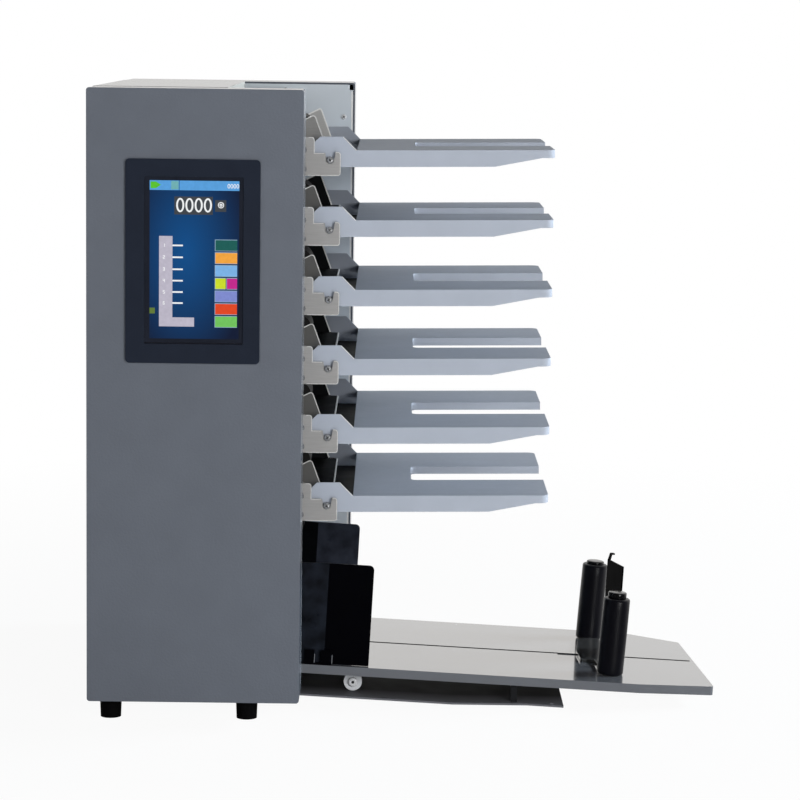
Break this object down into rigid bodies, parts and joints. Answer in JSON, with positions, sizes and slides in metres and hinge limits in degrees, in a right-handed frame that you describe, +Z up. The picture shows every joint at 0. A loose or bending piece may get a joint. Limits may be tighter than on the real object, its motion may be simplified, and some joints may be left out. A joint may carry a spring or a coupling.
{
  "type": "paper collator",
  "caption": "Desk-standing paper collator: tall tower with a touch screen, forked bins stacked on hooks, friction feed rollers and a sliding receiving tray with guides and stop.",
  "frame": {"origin": "middle of the footprint at table level", "axes": "+X towards the trays, +Y from the screen to the back, +Z up"},
  "size_m": [0.6328, 0.4794, 0.6265],
  "materials": {
    "cover_paint": "fine textured powder coat, slate grey",
    "frame_paint": "smooth light grey paint",
    "bezel_plastic": "satin dark navy",
    "screen_glass": "clear gloss",
    "display": "dark matt",
    "board": "green solder mask",
    "supply_case": "plain sheet",
    "black_plastic": "fine grain",
    "switch_red": "gloss",
    "foot_rubber": "matt",
    "stainless": "brushed",
    "deck_paint": "satin black",
    "pad_rubber": "matt",
    "chute_paint": "satin black",
    "bush_brass": "turned",
    "motor_case": "black coated",
    "belt_rubber": "matt",
    "ramp_paint": "satin black",
    "glide_plastic": "black acetal",
    "bin_paint": "fine textured powder coat, blue grey",
    "screw_steel": "turned",
    "feed_rubber": "ground rubber",
    "drive_rubber": "ground rubber",
    "pinch_plastic": "white acetal",
    "stack_paint": "smooth slate grey gloss",
    "guide_paint": "satin black",
    "stop_steel": "polished",
    "foam": "closed-cell foam"
  },
  "bodies": {
    "frame": {"base_pan": "frame_paint", "front_frame": "frame_paint", "rear_frame": "frame_paint", "tie_bars": "screw_steel", "front_cover": "cover_paint", "rear_cover": "cover_paint", "top_cover": "cover_paint", "screen_bezel": "bezel_plastic", "touch_glass": "screen_glass", "display_module": "display", "control_board": "board", "power_supply": "supply_case", "power_inlet": "black_plastic", "rubber_feet": "foot_rubber", "hook_brackets": "stainless", "feed_heads": "stainless", "feed_decks": "deck_paint", "separator_pads": "pad_rubber", "paper_chute": "chute_paint", "shaft_bushes": "bush_brass", "feed_motors": "motor_case", "drive_motor": "motor_case", "drive_belt": "belt_rubber", "tray_ramp": "ramp_paint", "ramp_glides": "glide_plastic"},
    "bin_1": {"bin_tray_1": "bin_paint", "tray_pivots_1": "screw_steel"},
    "bin_2": {"bin_tray_2": "bin_paint", "tray_pivots_2": "screw_steel"},
    "bin_3": {"bin_tray_3": "bin_paint", "tray_pivots_3": "screw_steel"},
    "bin_4": {"bin_tray_4": "bin_paint", "tray_pivots_4": "screw_steel"},
    "bin_5": {"bin_tray_5": "bin_paint", "tray_pivots_5": "screw_steel"},
    "bin_6": {"bin_tray_6": "bin_paint", "tray_pivots_6": "screw_steel"},
    "feed_1": {"feed_roller_1": "feed_rubber"},
    "feed_2": {"feed_roller_2": "feed_rubber"},
    "feed_3": {"feed_roller_3": "feed_rubber"},
    "feed_4": {"feed_roller_4": "feed_rubber"},
    "feed_5": {"feed_roller_5": "feed_rubber"},
    "feed_6": {"feed_roller_6": "feed_rubber"},
    "motor": {"motor_pulley": "screw_steel"},
    "transport": {"transport_roller": "drive_rubber"},
    "transport_pinch": {"transport_pinch": "pinch_plastic"},
    "exit": {"exit_roller": "drive_rubber"},
    "exit_pinch": {"exit_pinch": "pinch_plastic"},
    "stack": {"receiving_tray": "stack_paint", "tray_axle": "screw_steel"},
    "wheel_front": {"tray_roller_front": "pinch_plastic"},
    "wheel_rear": {"tray_roller_rear": "pinch_plastic"},
    "guide_front": {"side_guide_front": "guide_paint"},
    "guide_rear": {"side_guide_rear": "guide_paint"},
    "stop": {"stop_base": "stop_steel", "stop_posts": "foam", "stop_back": "guide_paint"},
    "door": {"side_door": "cover_paint"},
    "rocker": {"power_rocker": "switch_red"}
  },
  "joints": [
    {"name": "bin_1_tilt", "type": "hinge", "parent": "frame", "child": "bin_1", "pos_m": [-0.08196, -0.01925, 0.5564], "axis": [0, -1, 0], "range_deg": [0, 10]},
    {"name": "bin_2_tilt", "type": "hinge", "parent": "frame", "child": "bin_2", "pos_m": [-0.08196, -0.01925, 0.4871], "axis": [0, -1, 0], "range_deg": [0, 10]},
    {"name": "bin_3_tilt", "type": "hinge", "parent": "frame", "child": "bin_3", "pos_m": [-0.08196, -0.01925, 0.4178], "axis": [0, -1, 0], "range_deg": [0, 10]},
    {"name": "bin_4_tilt", "type": "hinge", "parent": "frame", "child": "bin_4", "pos_m": [-0.08196, -0.01925, 0.3485], "axis": [0, -1, 0], "range_deg": [0, 10]},
    {"name": "bin_5_tilt", "type": "hinge", "parent": "frame", "child": "bin_5", "pos_m": [-0.08196, -0.01925, 0.2792], "axis": [0, -1, 0], "range_deg": [0, 10]},
    {"name": "bin_6_tilt", "type": "hinge", "parent": "frame", "child": "bin_6", "pos_m": [-0.08196, -0.01925, 0.2099], "axis": [0, -1, 0], "range_deg": [0, 10]},
    {"name": "feed_1_spin", "type": "hinge", "parent": "frame", "child": "feed_1", "pos_m": [-0.11796, -0.01925, 0.5824], "axis": [0, 1, 0], "continuous": true},
    {"name": "feed_2_spin", "type": "hinge", "parent": "frame", "child": "feed_2", "pos_m": [-0.11796, -0.01925, 0.5131], "axis": [0, 1, 0], "continuous": true},
    {"name": "feed_3_spin", "type": "hinge", "parent": "frame", "child": "feed_3", "pos_m": [-0.11796, -0.01925, 0.4438], "axis": [0, 1, 0], "continuous": true},
    {"name": "feed_4_spin", "type": "hinge", "parent": "frame", "child": "feed_4", "pos_m": [-0.11796, -0.01925, 0.3745], "axis": [0, 1, 0], "continuous": true},
    {"name": "feed_5_spin", "type": "hinge", "parent": "frame", "child": "feed_5", "pos_m": [-0.11796, -0.01925, 0.3052], "axis": [0, 1, 0], "continuous": true},
    {"name": "feed_6_spin", "type": "hinge", "parent": "frame", "child": "feed_6", "pos_m": [-0.11796, -0.01925, 0.2359], "axis": [0, 1, 0], "continuous": true},
    {"name": "motor_spin", "type": "hinge", "parent": "frame", "child": "motor", "pos_m": [-0.23136, -0.01925, 0.3004], "axis": [0, 1, 0], "continuous": true},
    {"name": "transport_spin", "type": "hinge", "parent": "frame", "child": "transport", "pos_m": [-0.16936, -0.01925, 0.3965], "axis": [0, 1, 0], "continuous": true},
    {"name": "transport_pinch_spin", "type": "hinge", "parent": "frame", "child": "transport_pinch", "pos_m": [-0.14496, -0.01925, 0.3965], "axis": [0, 1, 0], "continuous": true},
    {"name": "exit_spin", "type": "hinge", "parent": "frame", "child": "exit", "pos_m": [-0.12636, -0.01925, 0.158], "axis": [0, 1, 0], "continuous": true},
    {"name": "exit_pinch_spin", "type": "hinge", "parent": "frame", "child": "exit_pinch", "pos_m": [-0.12636, -0.01925, 0.1824], "axis": [0, 1, 0], "continuous": true},
    {"name": "stack_slide", "type": "slide", "parent": "frame", "child": "stack", "axis": [0.9988, 0, -0.0489], "range_m": [0, 0.04]},
    {"name": "wheel_front_roll", "type": "hinge", "parent": "stack", "child": "wheel_front", "pos_m": [-0.05448, -0.01925, 0.01674], "axis": [0, 1, 0], "range_deg": [-10, 260]},
    {"name": "wheel_rear_roll", "type": "hinge", "parent": "stack", "child": "wheel_rear", "pos_m": [-0.05448, -0.01925, 0.01674], "axis": [0, 1, 0], "range_deg": [-10, 260]},
    {"name": "guide_front_slide", "type": "slide", "parent": "stack", "child": "guide_front", "axis": [0, 1, 0], "range_m": [0, 0.04]},
    {"name": "guide_rear_slide", "type": "slide", "parent": "stack", "child": "guide_rear", "axis": [0, -1, 0], "range_m": [0, 0.04]},
    {"name": "stop_slide", "type": "slide", "parent": "stack", "child": "stop", "axis": [0.9988, 0, -0.0489], "range_m": [-0.15, 0.05]},
    {"name": "door_swing", "type": "hinge", "parent": "frame", "child": "door", "pos_m": [-0.31136, 0.14475, 0.32], "axis": [0, 0, -1], "range_deg": [0, 95]},
    {"name": "rocker_tilt", "type": "hinge", "parent": "frame", "child": "rocker", "pos_m": [-0.25936, 0.23325, 0.094], "axis": [-1, 0, 0], "range_deg": [0, 16]}
  ],
  "couplings": [
    {"joint": "motor_spin", "follows": "transport_spin", "ratio": 1.5},
    {"joint": "exit_spin", "follows": "transport_spin", "ratio": 1},
    {"joint": "transport_pinch_spin", "follows": "transport_spin", "ratio": -2},
    {"joint": "exit_pinch_spin", "follows": "transport_spin", "ratio": -2},
    {"joint": "wheel_front_roll", "follows": "stack_slide", "rad_per_m": 106.38},
    {"joint": "wheel_rear_roll", "follows": "stack_slide", "rad_per_m": 106.38}
  ]
}
